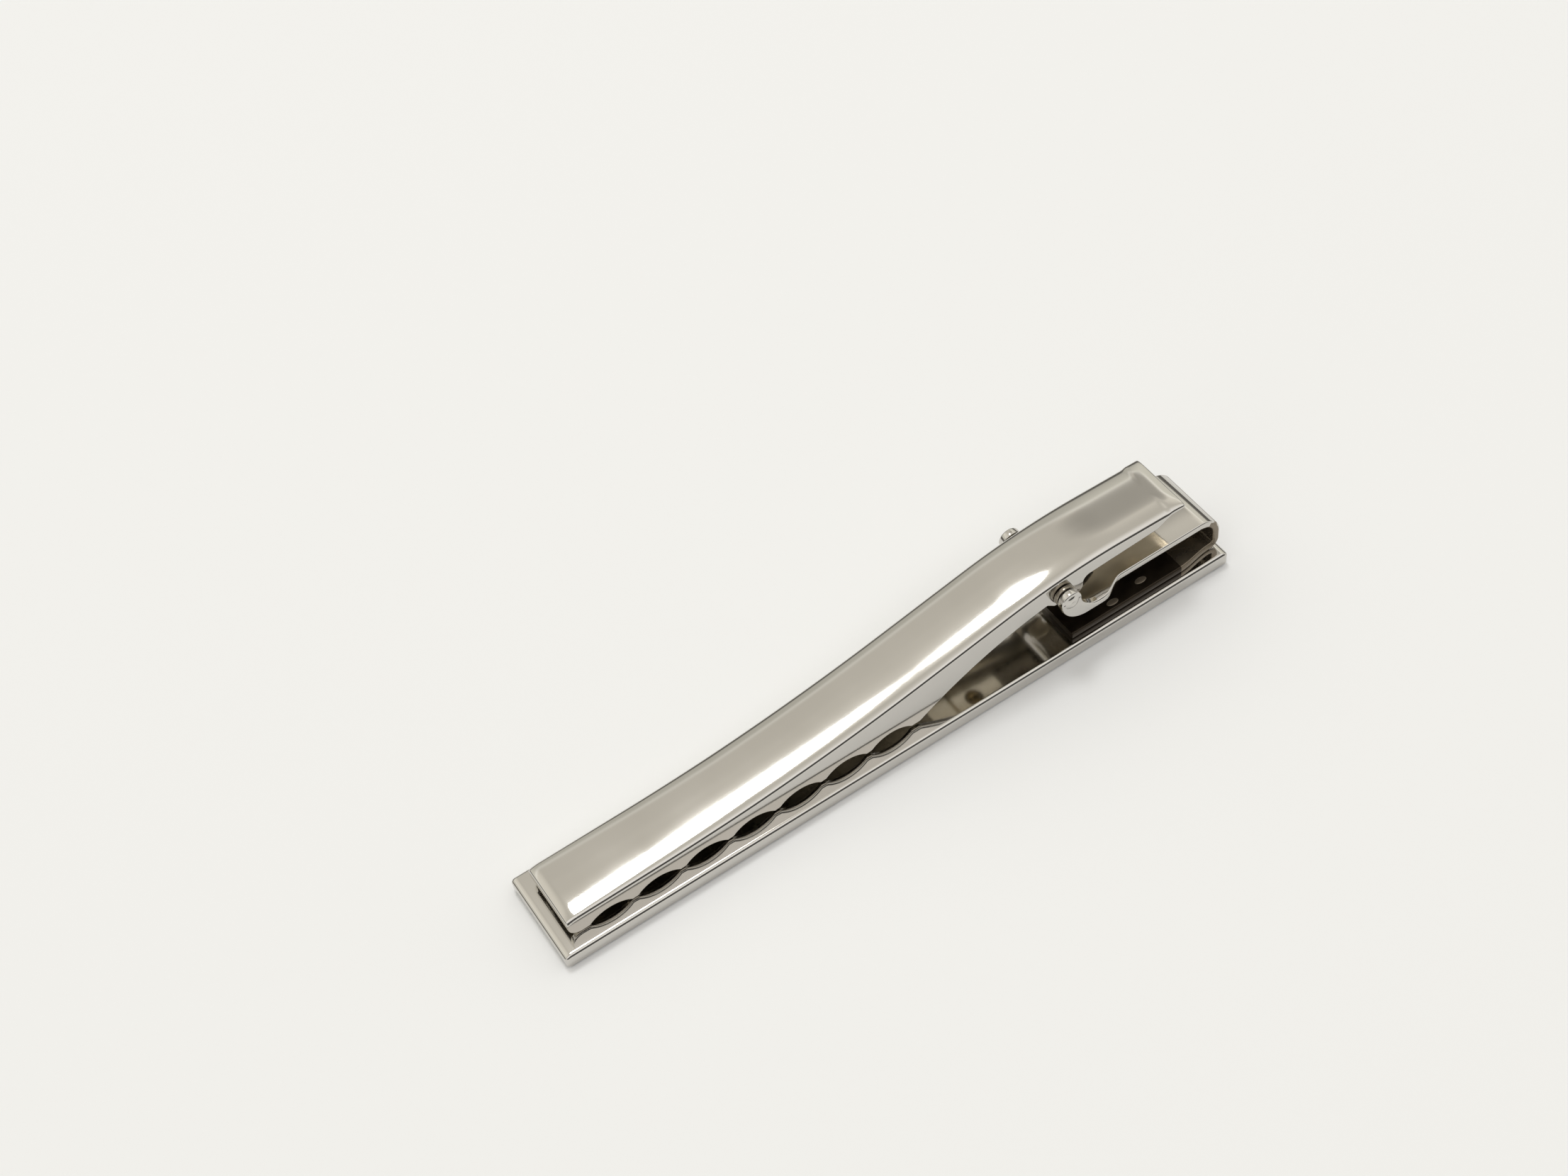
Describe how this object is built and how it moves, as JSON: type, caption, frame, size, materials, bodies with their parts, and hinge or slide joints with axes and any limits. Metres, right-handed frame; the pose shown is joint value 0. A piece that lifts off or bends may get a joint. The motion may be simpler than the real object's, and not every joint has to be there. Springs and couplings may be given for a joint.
{
  "type": "tie clip",
  "caption": "Hinged tie clip: a flat polished bar with a sprung lever whose waved jaw closes on it, pivoted on a pin in a bent strip bracket.",
  "frame": {"origin": "centre of the bar's flat front face, on which the clip lies", "axes": "+X along the bar from the jaw's nose to the bent end, +Y across the bar, +Z from the front face up through the lever"},
  "size_m": [0.057, 0.008, 0.0085],
  "materials": {
    "polished_plate": "mirror-polished bright plate",
    "spring_steel": "dull rolled spring steel",
    "rivet_metal": "unpolished brass"
  },
  "bodies": {
    "bar": {"front_bar": "polished_plate", "spring_bracket": "polished_plate", "hinge_pin": "polished_plate", "pin_washer_near": "polished_plate", "pin_washer_far": "polished_plate"},
    "lever": {"clip_lever": "polished_plate", "leaf_spring": "spring_steel", "spring_rivet": "rivet_metal"}
  },
  "joints": [
    {"name": "lever_hinge", "type": "hinge", "parent": "bar", "child": "lever", "pos_m": [0.01426, 0, 0.00647], "axis": [0, 1, 0], "range_deg": [0, 15], "stiffness_Nm_per_rad": 0.05, "springref_deg": -11.46, "deforming": ["leaf_spring"]}
  ]
}
